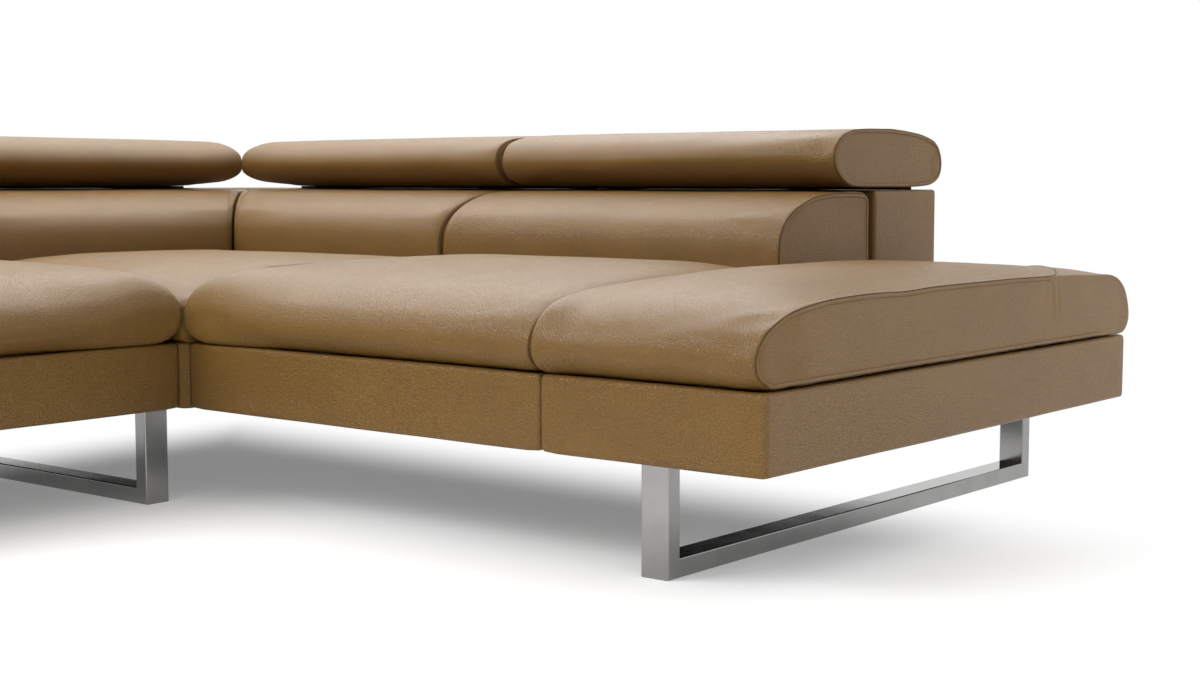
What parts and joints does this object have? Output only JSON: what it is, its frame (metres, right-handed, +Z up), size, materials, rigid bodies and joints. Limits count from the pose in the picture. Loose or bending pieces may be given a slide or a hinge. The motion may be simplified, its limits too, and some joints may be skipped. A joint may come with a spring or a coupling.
{
  "type": "sectional corner sofa",
  "caption": "Leather corner sofa of joined modules on chrome sled legs, with crowned seat and back cushions and pillow headrests that tip up on ratchet hinges.",
  "frame": {"origin": "on the floor under the inner corner where the two seat fronts meet, which is the centre of the sofa's outline", "axes": "+Z up; the right wing runs along +X with its seat front facing -Y; the left wing runs along -Y with its seat front facing +X"},
  "size_m": [2.53, 2.53, 0.6859],
  "materials": {
    "leather": "tan pebble grain, semi-matt",
    "timber": "raw pine and board",
    "chrome": "polished",
    "black_steel": "black, satin",
    "bright_steel": "zinc plated",
    "webbing": "woven elastic",
    "dust_cloth": "black non-woven",
    "black_plastic": "moulded, matt",
    "glide_rubber": "matt"
  },
  "bodies": {
    "sofa": {"back_cover_corner": "leather", "back_cover_left": "leather", "back_cover_right": "leather", "back_cushion_corner_left": "leather", "back_cushion_corner_right": "leather", "back_cushion_left": "leather", "back_cushion_right": "leather", "back_frame_corner": "timber", "back_frame_left": "timber", "back_frame_right": "timber", "base_frame_corner": "timber", "base_frame_end_left": "timber", "base_frame_end_right": "timber", "base_frame_middle_left": "timber", "base_frame_middle_right": "timber", "dust_covers": "dust_cloth", "foot_glides": "glide_rubber", "hinge_brackets": "black_steel", "joining_plates": "black_steel", "leg_plates": "black_steel", "pivot_bolts": "bright_steel", "plinth_cover_corner": "leather", "plinth_cover_end_left": "leather", "plinth_cover_end_right": "leather", "plinth_cover_middle_left": "leather", "plinth_cover_middle_right": "leather", "ratchet_wheels": "bright_steel", "seat_cushion_corner": "leather", "seat_cushion_end_left": "leather", "seat_cushion_end_right": "leather", "seat_cushion_middle_left": "leather", "seat_cushion_middle_right": "leather", "seat_webbing": "webbing", "sled_leg_corner": "chrome", "sled_leg_end_left": "chrome", "sled_leg_end_right": "chrome", "support_feet": "black_plastic"},
    "headrest_right": {"headrest_cushion_right": "leather", "headrest_board_right": "timber", "hinge_arms_right": "black_steel", "pawls_right": "bright_steel"},
    "headrest_left": {"headrest_cushion_left": "leather", "headrest_board_left": "timber", "hinge_arms_left": "black_steel", "pawls_left": "bright_steel"},
    "headrest_corner_right": {"headrest_cushion_corner_right": "leather", "headrest_board_corner_right": "timber", "hinge_arms_corner_right": "black_steel", "pawls_corner_right": "bright_steel"},
    "headrest_corner_left": {"headrest_cushion_corner_left": "leather", "headrest_board_corner_left": "timber", "hinge_arms_corner_left": "black_steel", "pawls_corner_left": "bright_steel"}
  },
  "joints": [
    {"name": "headrest_right_tilt", "type": "hinge", "parent": "sofa", "child": "headrest_right", "pos_m": [0.4325, 0.896, 0.628], "axis": [1, 0, 0], "range_deg": [0, 75]},
    {"name": "headrest_left_tilt", "type": "hinge", "parent": "sofa", "child": "headrest_left", "pos_m": [-0.896, -0.4325, 0.628], "axis": [0, 1, 0], "range_deg": [0, 75]},
    {"name": "headrest_corner_right_tilt", "type": "hinge", "parent": "sofa", "child": "headrest_corner_right", "pos_m": [-0.409, 0.896, 0.628], "axis": [1, 0, 0], "range_deg": [0, 75]},
    {"name": "headrest_corner_left_tilt", "type": "hinge", "parent": "sofa", "child": "headrest_corner_left", "pos_m": [-0.896, 0.409, 0.628], "axis": [0, 1, 0], "range_deg": [0, 75]}
  ]
}
